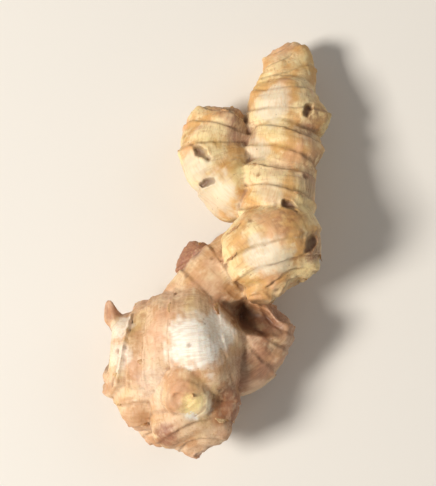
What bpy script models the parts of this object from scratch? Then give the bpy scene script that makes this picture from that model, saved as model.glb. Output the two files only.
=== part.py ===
"""A fresh ginger root lying on a table: one solid, grown from swollen lobes.

A ginger root is a rhizome, a stem that creeps underground. It grows as a chain of swollen lobes, each
sprouting from the side of an older one. Papery leaves once went round every lobe, and each left a
ring: a low rim that the next, younger stretch comes out of, like nested cups. Side buds sit on the
rings, and hollows mark where shoots and roots were broken off.

Each lobe here is a tube swept along a smooth curve, with its rings and buds raised on it by a formula.
A voxel remesh joins the lobes into one skin, the scars are pressed into that skin, and the lowest
swellings are flattened where they lie on the table.

Lengths are in metres. X runs across the root, Y along it from the old, fat end to the young fingers,
and Z up from the table. The origin is on the table under the middle of the root's box.
"""

import math
from typing import NamedTuple

import bmesh
import bpy
import numpy as np
from mathutils import Matrix, Vector
from mathutils.bvhtree import BVHTree

NAME = "ginger_rhizome"
SKIN_COLOUR = (0.66, 0.42, 0.21, 1.0)
SKIN_ROUGHNESS = 0.6

# Fineness of the mesh
SPACING = 0.0008  # between the points of a lobe's tube
CURVE_STEPS = 40  # of a path's smooth curve, from one of its points to the next
SAMPLES = 4  # places read off that curve in each SPACING
DOME_ROWS = 12  # rows of points in a lobe's rounded end
LONGEST_DOME = 0.45  # of a lobe's length
MERGE_DISTANCE = SPACING / 20  # draws a lobe's end rows together into poles
VOXEL = 0.0006  # of the joined skin
SMOOTHING = 0.3
TRIANGLES = 11_900  # of the finished solid
SEED = 7  # of the lobes' own phases

# Rings, on a lobe of full width; a slimmer lobe has lower ones
FULL_WIDTH = 0.010
RIM_HEIGHT = 0.0010
RIM_SLOPE = 0.0030  # the rim fades over this length towards the older end
RIM_STEP = 0.0006  # and drops off over this length towards the tip
GROOVE_DEPTH = 0.0006  # of the furrow under the rim
GROOVE_REACH = 0.0014  # the furrow fades over this length towards the tip
SWELL = 0.0006  # the skin's bulge between two rings
WAVE = 0.0012  # how far a ring strays along the lobe as it goes round
WAVE_TURN = 0.8  # radians that the wave turns by from one ring to the next

# Buds, one on each ring, left and right by turns
BUD_SHARE = 0.26  # of the lobe's half-width is the bud's radius
BUD_RISE = 0.55  # of the bud's radius is its height
BUD_TURN = math.radians(25)  # of the buds above the lobe's widest line

# Slow bulges and hollows
LUMP_HEIGHT = 0.0006
LUMP_SPAN = 0.016
LUMP_TWIST = (0.6, 0.8)  # how fast each of the two waves winds round the lobe

# Scars of shoots and roots
SCAR_REACH = 0.006  # above and below the skin that a scar presses
SCAR_RIM = 0.30  # of the scar's depth is the height of the rim round it
RIM_PLACE = 1.15  # of the scar's radius is the rim's
RIM_WIDTH = 0.30  # of the scar's radius is the rim's width
OUTSIDE = 0.05  # a point this far from the root's middle is outside its skin


class Lobe(NamedTuple):
    """One swollen lobe. Its path runs from inside its parent to its tip, with a half-width at each point."""

    path: tuple
    half_widths: tuple
    flatness: float = 0.9  # thickness over width
    bluntness: float = 0.8  # length of the tip's dome over its half-width
    first_ring: float = 0.0030  # distance over the skin from the tip to the youngest ring
    ring_gap: float = 0.0040  # from the youngest ring to the next
    ring_growth: float = 1.25  # each gap is longer than the last, away from the tip
    rim: float = 1.0  # how bold the rings are
    ring_fade: float = 0.85  # height of a ring over that of the next younger one
    bud_side: int = 1  # of the youngest ring's bud, seen from above: 1 right, -1 left, 0 no buds


class Scar(NamedTuple):
    """A round or long hollow, pressed in where a line from outside the root meets its skin."""

    place: tuple  # a point on that line
    outward: tuple
    half_length: float
    half_width: float
    depth: float
    turn: float = 0.0  # degrees round the outward direction, from X to the scar's length


LOBES = {
    # The old, fat part, whose left end is a broad blunt face with a flared rim round it
    "mother": Lobe(
        path=(
            (0.0085, 0.0320, 0.0160),
            (-0.0050, 0.0300, 0.0165),
            (-0.0160, 0.0292, 0.0155),
            (-0.0245, 0.0287, 0.0150),
            (-0.0312, 0.0300, 0.0150),
        ),
        half_widths=(0.0150, 0.0185, 0.0156, 0.0114, 0.0118),
        flatness=0.93,
        bluntness=0.30,
        first_ring=0.0125,
        ring_growth=1.5,
        rim=2.0,
        ring_fade=0.55,
        bud_side=0,
    ),
    "spur": Lobe(
        path=((-0.0258, 0.0300, 0.0175), (-0.0296, 0.0372, 0.0190), (-0.0318, 0.0432, 0.0190)),
        half_widths=(0.0052, 0.0024, 0.0006),
        bluntness=2.0,
        first_ring=0.0080,
        rim=0.4,
        bud_side=0,
    ),
    "shoulder": Lobe(
        path=((-0.0020, 0.0310, 0.0150), (0.0072, 0.0305, 0.0118), (0.0170, 0.0405, 0.0145)),
        half_widths=(0.0140, 0.0120, 0.0068),
        flatness=1.0,
        bluntness=0.7,
        first_ring=0.0050,
    ),
    "foot": Lobe(
        path=((-0.0080, 0.0270, 0.0160), (-0.0078, 0.0150, 0.0172), (-0.0050, 0.0015, 0.0175)),
        half_widths=(0.0150, 0.0128, 0.0088),
        flatness=0.95,
        rim=0.7,
    ),
    "foot_eye": Lobe(
        path=((-0.0080, 0.0195, 0.0190), (-0.0095, 0.0150, 0.0312)),
        half_widths=(0.0092, 0.0068),
        flatness=1.0,
        first_ring=0.0026,
        ring_gap=0.0026,
        bud_side=0,
    ),
    "heel": Lobe(
        path=((-0.0150, 0.0270, 0.0150), (-0.0205, 0.0170, 0.0152), (-0.0215, 0.0062, 0.0140)),
        half_widths=(0.0130, 0.0095, 0.0052),
        first_ring=0.0070,
        ring_gap=0.0060,
        rim=0.4,
        bud_side=0,
    ),
    "toe": Lobe(
        path=((-0.0160, 0.0170, 0.0090), (-0.0190, 0.0085, 0.0078), (-0.0160, 0.0015, 0.0075)),
        half_widths=(0.0070, 0.0050, 0.0022),
        bluntness=1.8,
        first_ring=0.0045,
        ring_gap=0.0035,
        rim=0.5,
        bud_side=0,
    ),
    # The waist that joins the old part to the chain of young ones
    "neck": Lobe(
        path=(
            (-0.0110, 0.0310, 0.0165),
            (-0.0045, 0.0430, 0.0170),
            (0.0040, 0.0525, 0.0170),
            (0.0120, 0.0610, 0.0190),
        ),
        half_widths=(0.0155, 0.0105, 0.0086, 0.0080),
        first_ring=0.0110,
        ring_gap=0.0080,
        rim=0.5,
    ),
    "hidden_bud": Lobe(
        path=((0.0010, 0.0460, 0.0120), (-0.0045, 0.0530, 0.0095), (-0.0090, 0.0590, 0.0095)),
        half_widths=(0.0070, 0.0066, 0.0046),
        first_ring=0.0024,
    ),
    # The chain, from the waist to the young tip
    "knuckle": Lobe(
        path=((0.0085, 0.0675, 0.0190), (0.0145, 0.0595, 0.0220), (0.0195, 0.0472, 0.0230)),
        half_widths=(0.0110, 0.0138, 0.0098),
        first_ring=0.0040,
    ),
    "knuckle_eye": Lobe(
        path=((0.0150, 0.0510, 0.0190), (0.0108, 0.0432, 0.0262)),
        half_widths=(0.0054, 0.0036),
        first_ring=0.0024,
        ring_gap=0.0030,
    ),
    "link": Lobe(
        path=((0.0120, 0.0620, 0.0205), (0.0170, 0.0720, 0.0190), (0.0175, 0.0835, 0.0165)),
        half_widths=(0.0105, 0.0110, 0.0090),
        first_ring=0.0036,
        bud_side=-1,
    ),
    "upper_link": Lobe(
        path=((0.0165, 0.0740, 0.0170), (0.0190, 0.0855, 0.0150), (0.0205, 0.0960, 0.0125)),
        half_widths=(0.0090, 0.0102, 0.0088),
        first_ring=0.0036,
    ),
    "crown": Lobe(
        path=((0.0190, 0.0880, 0.0125), (0.0200, 0.0990, 0.0107), (0.0215, 0.1110, 0.0100)),
        half_widths=(0.0095, 0.0115, 0.0083),
        flatness=0.95,
        first_ring=0.0036,
        bud_side=-1,
    ),
    "tip": Lobe(
        path=((0.0215, 0.1030, 0.0100), (0.0210, 0.1120, 0.0095), (0.0180, 0.1190, 0.0095)),
        half_widths=(0.0085, 0.0076, 0.0048),
        bluntness=1.0,
        first_ring=0.0024,
        ring_gap=0.0028,
    ),
    # The finger that lies along the chain's left side
    "finger": Lobe(
        path=(
            (0.0120, 0.0720, 0.0160),
            (0.0040, 0.0765, 0.0155),
            (-0.0010, 0.0870, 0.0140),
            (0.0005, 0.1000, 0.0115),
        ),
        half_widths=(0.0080, 0.0086, 0.0095, 0.0070),
        bluntness=0.7,
        first_ring=0.0040,
    ),
}

UP = (0.0, 0.0, 1.0)
SCARS = (
    # The pit between the neck, the knuckle and the shoulder
    Scar((0.0098, 0.0372, 0.0200), UP, half_length=0.0076, half_width=0.0042, depth=0.0035, turn=-20),
    # Slits and eyes of shoots on the side that looks up: crown, link, knuckle and two on the finger
    Scar((0.0262, 0.0990, 0.0200), UP, half_length=0.0022, half_width=0.0013, depth=0.0013, turn=65),
    Scar((0.0202, 0.0690, 0.0200), UP, half_length=0.0022, half_width=0.0012, depth=0.0013, turn=-30),
    Scar((0.0262, 0.0580, 0.0200), UP, half_length=0.0026, half_width=0.0015, depth=0.0014, turn=70),
    Scar((-0.0050, 0.0860, 0.0200), UP, half_length=0.0034, half_width=0.0012, depth=0.0014, turn=-45),
    Scar((-0.0030, 0.0772, 0.0200), UP, half_length=0.0022, half_width=0.0010, depth=0.0012, turn=15),
    # The broken old end on the left, and round scars on the underside and the right side
    Scar((-0.0300, 0.0300, 0.0150), (-1, 0, 0), half_length=0.0070, half_width=0.0060, depth=0.0016),
    Scar((-0.0120, 0.0420, 0.0050), (0, 0.5, -1), half_length=0.0030, half_width=0.0026, depth=0.0015),
    Scar((0.0180, 0.0620, 0.0100), (0.4, 0, -1), half_length=0.0032, half_width=0.0028, depth=0.0016),
    Scar((0.0100, 0.0200, 0.0080), (1, -0.5, -0.5), half_length=0.0030, half_width=0.0024, depth=0.0015),
)


def clear_scene():
    for obj in list(bpy.data.objects):
        bpy.data.objects.remove(obj, do_unlink=True)


def smooth_curve(points, values):
    """Even steps along the smooth (Catmull-Rom) curve through the points: places, values and distances."""
    knots = np.column_stack([np.array(points), np.array(values)])
    knots = np.vstack([2 * knots[0] - knots[1], knots, 2 * knots[-1] - knots[-2]])
    pieces = len(knots) - 3
    steps = np.linspace(0, pieces - 1e-9, CURVE_STEPS * pieces)
    piece = steps.astype(int)
    t = (steps - piece)[:, None]
    before, start, end, after = (knots[piece + i] for i in range(4))
    curve = 0.5 * (
        2 * start
        + (end - before) * t
        + (2 * before - 5 * start + 4 * end - after) * t**2
        + (3 * start - before - 3 * end + after) * t**3
    )
    lengths = np.append(0, np.cumsum(np.linalg.norm(np.diff(curve[:, :3], axis=0), axis=1)))
    places = np.linspace(0, lengths[-1], int(SAMPLES * lengths[-1] / SPACING))
    columns = [np.interp(places, lengths, column) for column in curve.T]
    return np.column_stack(columns[:3]), columns[3], places


def dome_rows(length, root_dome, tip_dome):
    """Where the rows of points lie along a lobe, closest in its domes, and their share of its width."""
    quarter = np.linspace(0, math.pi / 2, DOME_ROWS)
    root = root_dome * (1 - np.cos(quarter))
    tip = length - tip_dome * (1 - np.cos(quarter[::-1]))
    middle_count = max(2, int((tip[0] - root[-1]) / SPACING))
    middle = np.linspace(root[-1], tip[0], middle_count)[1:-1]
    rows = np.concatenate([root, middle, tip])
    share = np.concatenate([np.sin(quarter), np.ones(len(middle)), np.sin(quarter[::-1])])
    return rows, share


def ring_relief(lobe, size, from_tip, angle, width, phases):
    """Height over the skin of the rims, the furrows under them, the swells between and the buds on them."""
    bud_radius = BUD_SHARE * max(lobe.half_widths)
    relief = np.zeros_like(from_tip)
    boldness = lobe.rim * size
    turn = 0.0
    previous, ring, gap, side = 0.0, lobe.first_ring, lobe.ring_gap, lobe.bud_side
    while previous < from_tip.max():
        wave = np.sin(angle + phases[0] + turn) + 0.5 * np.sin(2 * angle + phases[1] - turn)
        strayed = from_tip + size * WAVE * wave
        past = strayed - ring
        older_side = RIM_HEIGHT * np.exp(-past / RIM_SLOPE)
        younger_side = (RIM_HEIGHT + GROOVE_DEPTH) * np.exp(-((past / RIM_STEP) ** 2))
        younger_side -= GROOVE_DEPTH * np.exp(past / GROOVE_REACH)
        relief += boldness * np.where(past > 0, older_side, younger_side)
        between = np.clip((strayed - previous) / (ring - previous), 0, 1)
        relief += SWELL * size * np.sin(math.pi * between) ** 2
        bud_angle = BUD_TURN if side > 0 else math.pi - BUD_TURN
        sideways = 2 * width * np.sin((angle - bud_angle) / 2)
        bud = BUD_RISE * bud_radius * np.exp(-((past**2 + sideways**2) / bud_radius**2))
        relief += abs(side) * bud
        previous, ring, gap, side = ring, ring + gap, gap * lobe.ring_growth, -side
        boldness *= lobe.ring_fade
        turn += WAVE_TURN
    return relief


def lumps(size, from_tip, angle, phases):
    """Slow bulges and hollows that keep a lobe from being a plain turned shape."""
    along = 2 * math.pi * from_tip / LUMP_SPAN
    waves = np.sin(2 * angle + phases[2] + LUMP_TWIST[0] * along)
    waves += np.sin(3 * angle + phases[3] - LUMP_TWIST[1] * along)
    return LUMP_HEIGHT * size * waves


def lobe_surface(lobe, random):
    """Points of one lobe, row by row from its root to its tip, with its rings, buds and lumps raised."""
    centres, half_widths, places = smooth_curve(lobe.path, lobe.half_widths)
    length = places[-1]
    longest_dome = LONGEST_DOME * length
    root_dome = min(half_widths[0], longest_dome)
    tip_dome = min(lobe.bluntness * half_widths[-1], longest_dome)
    rows, share = dome_rows(length, root_dome, tip_dome)
    around = int(2 * math.pi * half_widths.max() / SPACING)
    angle = np.linspace(0, 2 * math.pi, around, endpoint=False)[None, :]

    middle = np.column_stack([np.interp(rows, places, column) for column in centres.T])
    along = np.column_stack([np.interp(rows, places, column) for column in np.gradient(centres, axis=0).T])
    along /= np.linalg.norm(along, axis=1)[:, None]
    side = np.cross(along, UP)
    side /= np.linalg.norm(side, axis=1)[:, None]
    up = lobe.flatness * np.cross(side, along)
    width = (np.interp(rows, places, half_widths) * share)[:, None]
    out = np.cos(angle)[:, :, None] * side[:, None] + np.sin(angle)[:, :, None] * up[:, None]
    points = middle[:, None] + width[:, :, None] * out

    rightward = np.roll(points, -1, axis=1) - np.roll(points, 1, axis=1)
    normal = np.cross(np.gradient(points, axis=0), rightward)
    normal /= np.linalg.norm(normal, axis=2)[:, :, None] + 1e-12
    if (normal * out).sum() < 0:
        normal = -normal
    normal[[0, -1]] = np.array([-along[0], along[-1]])[:, None]

    run = np.hypot(np.diff(rows), np.diff(width[:, 0]))
    from_tip = np.append(np.cumsum(run[::-1])[::-1], 0)[:, None] + 0 * angle
    size = min(1.0, max(lobe.half_widths) / FULL_WIDTH)
    phases = random.uniform(0, 2 * math.pi, 4)
    height = ring_relief(lobe, size, from_tip, angle, width, phases)
    height += lumps(size, from_tip, angle, phases) * share[:, None]
    height[[0, -1]] = height[[0, -1]].mean(axis=1)[:, None]
    return points + normal * height[:, :, None]


def closed_lobe(name, lobe, random):
    """The lobe as a closed mesh, with its end rows drawn together into poles."""
    points = lobe_surface(lobe, random)
    rows, around = points.shape[:2]
    corners = np.arange(rows * around).reshape(rows, around)
    next_corners = np.roll(corners, -1, axis=1)
    faces = np.stack([corners[:-1], corners[1:], next_corners[1:], next_corners[:-1]], axis=2)
    shape = bpy.data.meshes.new(name)
    shape.from_pydata(points.reshape(-1, 3).tolist(), [], faces.reshape(-1, 4).tolist())
    edit = bmesh.new()
    edit.from_mesh(shape)
    bmesh.ops.remove_doubles(edit, verts=edit.verts, dist=MERGE_DISTANCE)
    bmesh.ops.recalc_face_normals(edit, faces=edit.faces)
    edit.to_mesh(shape)
    edit.free()
    return shape


def joined(meshes):
    """One object that holds all the lobes, still overlapping."""
    edit = bmesh.new()
    for shape in meshes:
        edit.from_mesh(shape)
        bpy.data.meshes.remove(shape)
    together = bpy.data.meshes.new(NAME)
    edit.to_mesh(together)
    edit.free()
    obj = bpy.data.objects.new(NAME, together)
    bpy.context.scene.collection.objects.link(obj)
    return obj


def apply_modifiers(obj):
    """Replaces the object's mesh by what its modifiers make of it."""
    graph = bpy.context.evaluated_depsgraph_get()
    made = bpy.data.meshes.new_from_object(obj.evaluated_get(graph))
    obj.modifiers.clear()
    obj.data = made


def fuse_skin(obj):
    """Turns the overlapping lobes into one closed skin, with the creases between them slightly rounded."""
    remesh = obj.modifiers.new("one_skin", "REMESH")
    remesh.mode = "VOXEL"
    remesh.voxel_size = VOXEL
    smooth = obj.modifiers.new("round_creases", "SMOOTH")
    smooth.factor = SMOOTHING
    smooth.iterations = 1
    apply_modifiers(obj)


def keep_outer_skin(obj):
    """Fills the hollows that are sealed in between lobes, by dropping the small closed skins round them."""
    edit = bmesh.new()
    edit.from_mesh(obj.data)
    unseen = set(edit.verts)
    outer = set()
    while unseen:
        front = {unseen.pop()}
        found = set(front)
        while front:
            front = {edge.other_vert(point) for point in front for edge in point.link_edges} - found
            found |= front
        unseen -= found
        outer = max(outer, found, key=len)
    inner = [point for point in edit.verts if point not in outer]
    bmesh.ops.delete(edit, geom=inner, context="VERTS")
    edit.to_mesh(obj.data)
    edit.free()


def read_points(obj):
    points = np.empty(len(obj.data.vertices) * 3)
    obj.data.vertices.foreach_get("co", points)
    return points.reshape(-1, 3)


def write_points(obj, points):
    obj.data.vertices.foreach_set("co", points.ravel())
    obj.data.update()


def press_scars(obj):
    """Presses each scar into the skin, with a low rim round it."""
    points = read_points(obj)
    skin = BVHTree.FromObject(obj, bpy.context.evaluated_depsgraph_get())
    for scar in SCARS:
        outward = Vector(scar.outward).normalized()
        middle = skin.ray_cast(Vector(scar.place) + outward * OUTSIDE, -outward)[0]
        level = Vector((0, 1, 0)) if abs(outward.x) > 0.9 else Vector((1, 0, 0))
        level = (level - level.project(outward)).normalized()
        along = Matrix.Rotation(math.radians(scar.turn), 3, outward) @ level
        across = outward.cross(along)
        away = points - np.array(middle)
        lengthways = away @ np.array(along) / scar.half_length
        reach = np.hypot(lengthways, away @ np.array(across) / scar.half_width)
        push = SCAR_RIM * np.exp(-(((reach - RIM_PLACE) / RIM_WIDTH) ** 2)) - np.exp(-(reach**4))
        push *= scar.depth * np.exp(-((away @ np.array(outward) / SCAR_REACH) ** 4))
        points += push[:, None] * np.array(outward)
    write_points(obj, points)


def thin_out(obj):
    """Merges faces where the skin is smooth, so that the rings and creases keep theirs."""
    obj.data.calc_loop_triangles()
    thin = obj.modifiers.new("thin_out", "DECIMATE")
    thin.ratio = TRIANGLES / len(obj.data.loop_triangles)
    apply_modifiers(obj)


def lay_on_table(obj):
    """Centres the root over the origin and flattens what would sink into the table."""
    points = read_points(obj)
    points[:, 2] = np.maximum(points[:, 2], 0)
    points[:, :2] -= (points.max(axis=0) + points.min(axis=0))[:2] / 2
    write_points(obj, points)


def skin_material():
    skin = bpy.data.materials.new("ginger_skin")
    skin.use_nodes = True
    shader = skin.node_tree.nodes["Principled BSDF"]
    shader.inputs["Base Color"].default_value = SKIN_COLOUR
    shader.inputs["Roughness"].default_value = SKIN_ROUGHNESS
    shader.inputs["Metallic"].default_value = 0.0
    return skin


def main():
    clear_scene()
    random = np.random.default_rng(SEED)
    root = joined([closed_lobe(name, lobe, random) for name, lobe in LOBES.items()])
    fuse_skin(root)
    keep_outer_skin(root)
    press_scars(root)
    thin_out(root)
    lay_on_table(root)
    root.data.materials.append(skin_material())
    root.data.shade_smooth()
    print(f"{NAME}: {len(root.data.vertices)} points, {len(root.data.polygons)} faces")


main()
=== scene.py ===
# %% [markdown]
# # Dressing a fresh ginger root
#
# A ginger root is a rhizome: a stem that creeps underground and swells into lobes. Its solid model is
# already packed as a fixed frame. This lesson builds the skin that we see round that solid, paints it,
# and lights it on a pale table. The frame is loaded first, because everything else is placed by it.

# %% Load the frame
import math
from typing import NamedTuple

import bmesh
import bpy
import numpy as np
from mathutils import Matrix, Vector, noise
from mathutils.bvhtree import BVHTree
from mathutils.kdtree import KDTree


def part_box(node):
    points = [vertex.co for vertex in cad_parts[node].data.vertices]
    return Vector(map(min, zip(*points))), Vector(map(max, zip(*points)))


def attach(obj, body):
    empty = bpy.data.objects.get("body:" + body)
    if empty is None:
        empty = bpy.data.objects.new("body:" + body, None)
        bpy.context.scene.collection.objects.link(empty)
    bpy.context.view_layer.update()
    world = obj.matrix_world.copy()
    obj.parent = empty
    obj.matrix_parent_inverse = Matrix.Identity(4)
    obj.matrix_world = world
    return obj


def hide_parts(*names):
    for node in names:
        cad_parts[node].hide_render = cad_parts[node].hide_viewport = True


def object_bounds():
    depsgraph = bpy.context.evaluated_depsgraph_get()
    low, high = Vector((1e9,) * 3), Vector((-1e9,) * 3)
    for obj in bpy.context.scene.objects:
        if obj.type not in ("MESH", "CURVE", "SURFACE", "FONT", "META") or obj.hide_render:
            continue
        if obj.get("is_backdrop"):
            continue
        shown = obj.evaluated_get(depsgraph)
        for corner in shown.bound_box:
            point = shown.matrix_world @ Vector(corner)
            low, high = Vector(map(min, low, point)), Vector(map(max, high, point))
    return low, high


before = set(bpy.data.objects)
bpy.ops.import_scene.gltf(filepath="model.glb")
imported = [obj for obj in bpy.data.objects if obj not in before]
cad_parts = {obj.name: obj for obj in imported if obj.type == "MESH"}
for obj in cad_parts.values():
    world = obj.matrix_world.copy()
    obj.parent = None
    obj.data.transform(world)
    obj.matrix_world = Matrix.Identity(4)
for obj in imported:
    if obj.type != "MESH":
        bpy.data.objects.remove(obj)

solid_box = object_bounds()
box_low, box_high = (np.array(corner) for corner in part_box("ginger_rhizome"))
print("the solid's box in mm:", np.round((box_high - box_low) * 1000, 1))

# %% [markdown]
# ## How a ginger root grows
#
# The root is a chain of swollen lobes. Each sprouts from the side of an older one and ends in a blunt
# tip. It could be sculpted by hand, but a sculpt can't be written down. Here each lobe is a tube along a
# smooth curve: a few points of its path, and the half-width at each. The solid was made from the same
# lobes, so the skin will fit it. Lengths are in metres. X runs across the root, Y along it from the old
# end to the young tip, and Z up from the table.

# %% What describes a lobe
class Lobe(NamedTuple):
    path: tuple
    half_widths: tuple
    flatness: float = 0.9  # thickness over width
    bluntness: float = 0.8  # length of the tip's dome over its half-width
    first_ring: float = 0.0030  # distance over the skin from the tip to the youngest ring
    ring_gap: float = 0.0040  # from the youngest ring to the next
    ring_growth: float = 1.25  # each gap is longer than the last, away from the tip
    rim: float = 1.0  # how bold the rings are
    ring_fade: float = 0.85  # height of a ring over that of the next younger one
    bud_side: int = 1  # of the youngest ring's bud, seen from above: 1 right, -1 left, 0 no buds


print("a lobe is described by:", ", ".join(Lobe._fields))

# %% [markdown]
# ## The old part
#
# The fat old part has a broad, blunt left end with a flared rim, where it was once broken from its own
# parent. A foot, two pointed buds and a shoulder sprout from it. The foot carries a bud that looks up at
# us. Short tubes that overlap give these forms more simply than one complicated surface would.

# %% Lobes of the old part
OLD_PART = {
    "mother": Lobe(
        path=(
            (0.0085, 0.0320, 0.0160),
            (-0.0050, 0.0300, 0.0165),
            (-0.0160, 0.0292, 0.0155),
            (-0.0245, 0.0287, 0.0150),
            (-0.0312, 0.0300, 0.0150),
        ),
        half_widths=(0.0150, 0.0185, 0.0156, 0.0114, 0.0118),
        flatness=0.93,
        bluntness=0.30,
        first_ring=0.0125,
        ring_growth=1.5,
        rim=2.0,
        ring_fade=0.55,
        bud_side=0,
    ),
    "spur": Lobe(
        path=((-0.0258, 0.0300, 0.0175), (-0.0296, 0.0372, 0.0190), (-0.0318, 0.0432, 0.0190)),
        half_widths=(0.0052, 0.0024, 0.0006),
        bluntness=2.0,
        first_ring=0.0080,
        rim=0.4,
        bud_side=0,
    ),
    "shoulder": Lobe(
        path=((-0.0020, 0.0310, 0.0150), (0.0072, 0.0305, 0.0118), (0.0170, 0.0405, 0.0145)),
        half_widths=(0.0140, 0.0120, 0.0068),
        flatness=1.0,
        bluntness=0.7,
        first_ring=0.0050,
    ),
    "foot": Lobe(
        path=((-0.0080, 0.0270, 0.0160), (-0.0078, 0.0150, 0.0172), (-0.0050, 0.0015, 0.0175)),
        half_widths=(0.0150, 0.0128, 0.0088),
        flatness=0.95,
        rim=0.7,
    ),
    "foot_eye": Lobe(
        path=((-0.0080, 0.0195, 0.0190), (-0.0095, 0.0150, 0.0312)),
        half_widths=(0.0092, 0.0068),
        flatness=1.0,
        first_ring=0.0026,
        ring_gap=0.0026,
        bud_side=0,
    ),
    "heel": Lobe(
        path=((-0.0150, 0.0270, 0.0150), (-0.0205, 0.0170, 0.0152), (-0.0215, 0.0062, 0.0140)),
        half_widths=(0.0130, 0.0095, 0.0052),
        first_ring=0.0070,
        ring_gap=0.0060,
        rim=0.4,
        bud_side=0,
    ),
    "toe": Lobe(
        path=((-0.0160, 0.0170, 0.0090), (-0.0190, 0.0085, 0.0078), (-0.0160, 0.0015, 0.0075)),
        half_widths=(0.0070, 0.0050, 0.0022),
        bluntness=1.8,
        first_ring=0.0045,
        ring_gap=0.0035,
        rim=0.5,
        bud_side=0,
    ),
}
print("lobes of the old part:", ", ".join(OLD_PART))

# %% [markdown]
# ## The neck and the chain
#
# A thin neck joins the old part to a chain of young lobes: knuckle, link, upper link, crown and tip. A
# bud hides behind the neck, a small eye sits on the knuckle, and one finger lies along the chain's side.

# %% Lobes of the neck and the chain
NECK = {
    "neck": Lobe(
        path=(
            (-0.0110, 0.0310, 0.0165),
            (-0.0045, 0.0430, 0.0170),
            (0.0040, 0.0525, 0.0170),
            (0.0120, 0.0610, 0.0190),
        ),
        half_widths=(0.0155, 0.0105, 0.0086, 0.0080),
        first_ring=0.0110,
        ring_gap=0.0080,
        rim=0.5,
    ),
    "hidden_bud": Lobe(
        path=((0.0010, 0.0460, 0.0120), (-0.0045, 0.0530, 0.0095), (-0.0090, 0.0590, 0.0095)),
        half_widths=(0.0070, 0.0066, 0.0046),
        first_ring=0.0024,
    ),
}
CHAIN = {
    "knuckle": Lobe(
        path=((0.0085, 0.0675, 0.0190), (0.0145, 0.0595, 0.0220), (0.0195, 0.0472, 0.0230)),
        half_widths=(0.0110, 0.0138, 0.0098),
        first_ring=0.0040,
    ),
    "knuckle_eye": Lobe(
        path=((0.0150, 0.0510, 0.0190), (0.0108, 0.0432, 0.0262)),
        half_widths=(0.0054, 0.0036),
        first_ring=0.0024,
        ring_gap=0.0030,
    ),
    "link": Lobe(
        path=((0.0120, 0.0620, 0.0205), (0.0170, 0.0720, 0.0190), (0.0175, 0.0835, 0.0165)),
        half_widths=(0.0105, 0.0110, 0.0090),
        first_ring=0.0036,
        bud_side=-1,
    ),
    "upper_link": Lobe(
        path=((0.0165, 0.0740, 0.0170), (0.0190, 0.0855, 0.0150), (0.0205, 0.0960, 0.0125)),
        half_widths=(0.0090, 0.0102, 0.0088),
        first_ring=0.0036,
    ),
    "crown": Lobe(
        path=((0.0190, 0.0880, 0.0125), (0.0200, 0.0990, 0.0107), (0.0215, 0.1110, 0.0100)),
        half_widths=(0.0095, 0.0115, 0.0083),
        flatness=0.95,
        first_ring=0.0036,
        bud_side=-1,
    ),
    "tip": Lobe(
        path=((0.0215, 0.1030, 0.0100), (0.0210, 0.1120, 0.0095), (0.0180, 0.1190, 0.0095)),
        half_widths=(0.0085, 0.0076, 0.0048),
        bluntness=1.0,
        first_ring=0.0024,
        ring_gap=0.0028,
    ),
    "finger": Lobe(
        path=(
            (0.0120, 0.0720, 0.0160),
            (0.0040, 0.0765, 0.0155),
            (-0.0010, 0.0870, 0.0140),
            (0.0005, 0.1000, 0.0115),
        ),
        half_widths=(0.0080, 0.0086, 0.0095, 0.0070),
        bluntness=0.7,
        first_ring=0.0040,
    ),
}
LOBES = {**OLD_PART, **NECK, **CHAIN}
print(len(LOBES), "lobes in all; the last ones:", ", ".join(CHAIN))

# %% [markdown]
# ## A smooth path
#
# A lobe bends softly, so its path needs a curve through the points, not straight runs between them. A
# Catmull-Rom curve passes through every point it is given, which makes the table easy to read. The
# half-widths go along with the points and are smoothed in the same way.

# %% The curve through a lobe's points
SPACING = 0.0005  # between the points of a lobe's tube
CURVE_STEPS = 40  # along each stretch between two points of a path
SAMPLES = 4  # even places along the curve for each SPACING of its length


def smooth_curve(points, values):
    """Even steps along the curve through the points: places, values and distances from its start."""
    knots = np.column_stack([np.array(points), np.array(values)])
    knots = np.vstack([2 * knots[0] - knots[1], knots, 2 * knots[-1] - knots[-2]])
    pieces = len(knots) - 3
    steps = np.linspace(0, pieces - 1e-9, CURVE_STEPS * pieces)
    piece = steps.astype(int)
    t = (steps - piece)[:, None]
    before, start, end, after = (knots[piece + i] for i in range(4))
    curve = 0.5 * (
        2 * start
        + (end - before) * t
        + (2 * before - 5 * start + 4 * end - after) * t**2
        + (3 * start - before - 3 * end + after) * t**3
    )
    lengths = np.append(0, np.cumsum(np.linalg.norm(np.diff(curve[:, :3], axis=0), axis=1)))
    places = np.linspace(0, lengths[-1], int(SAMPLES * lengths[-1] / SPACING))
    columns = [np.interp(places, lengths, column) for column in curve.T]
    return np.column_stack(columns[:3]), columns[3], places


for name in ("mother", "finger"):
    length = smooth_curve(LOBES[name].path, LOBES[name].half_widths)[2][-1]
    print(f"the {name} is {length * 1000:.1f} mm long along its curve")

# %% [markdown]
# ## Rows round a lobe
#
# The tube is made of rows of points, one row for each step along the curve. At both ends the rows shrink
# along a quarter circle, which closes the tube with a dome. The rows stand closer there, so that the dome
# is as smooth as the rest.

# %% Where the rows lie
DOME_ROWS = 18


def dome_rows(length, root_dome, tip_dome):
    """Distances of the rows along a lobe, and each row's share of the lobe's width."""
    quarter = np.linspace(0, math.pi / 2, DOME_ROWS)
    root = root_dome * (1 - np.cos(quarter))
    tip = length - tip_dome * (1 - np.cos(quarter[::-1]))
    middle_count = max(2, int((tip[0] - root[-1]) / SPACING))
    middle = np.linspace(root[-1], tip[0], middle_count)[1:-1]
    rows = np.concatenate([root, middle, tip])
    share = np.concatenate([np.sin(quarter), np.ones(len(middle)), np.sin(quarter[::-1])])
    return rows, share


print("a 20 mm lobe has", len(dome_rows(0.020, 0.008, 0.006)[0]), "rows")

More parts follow.
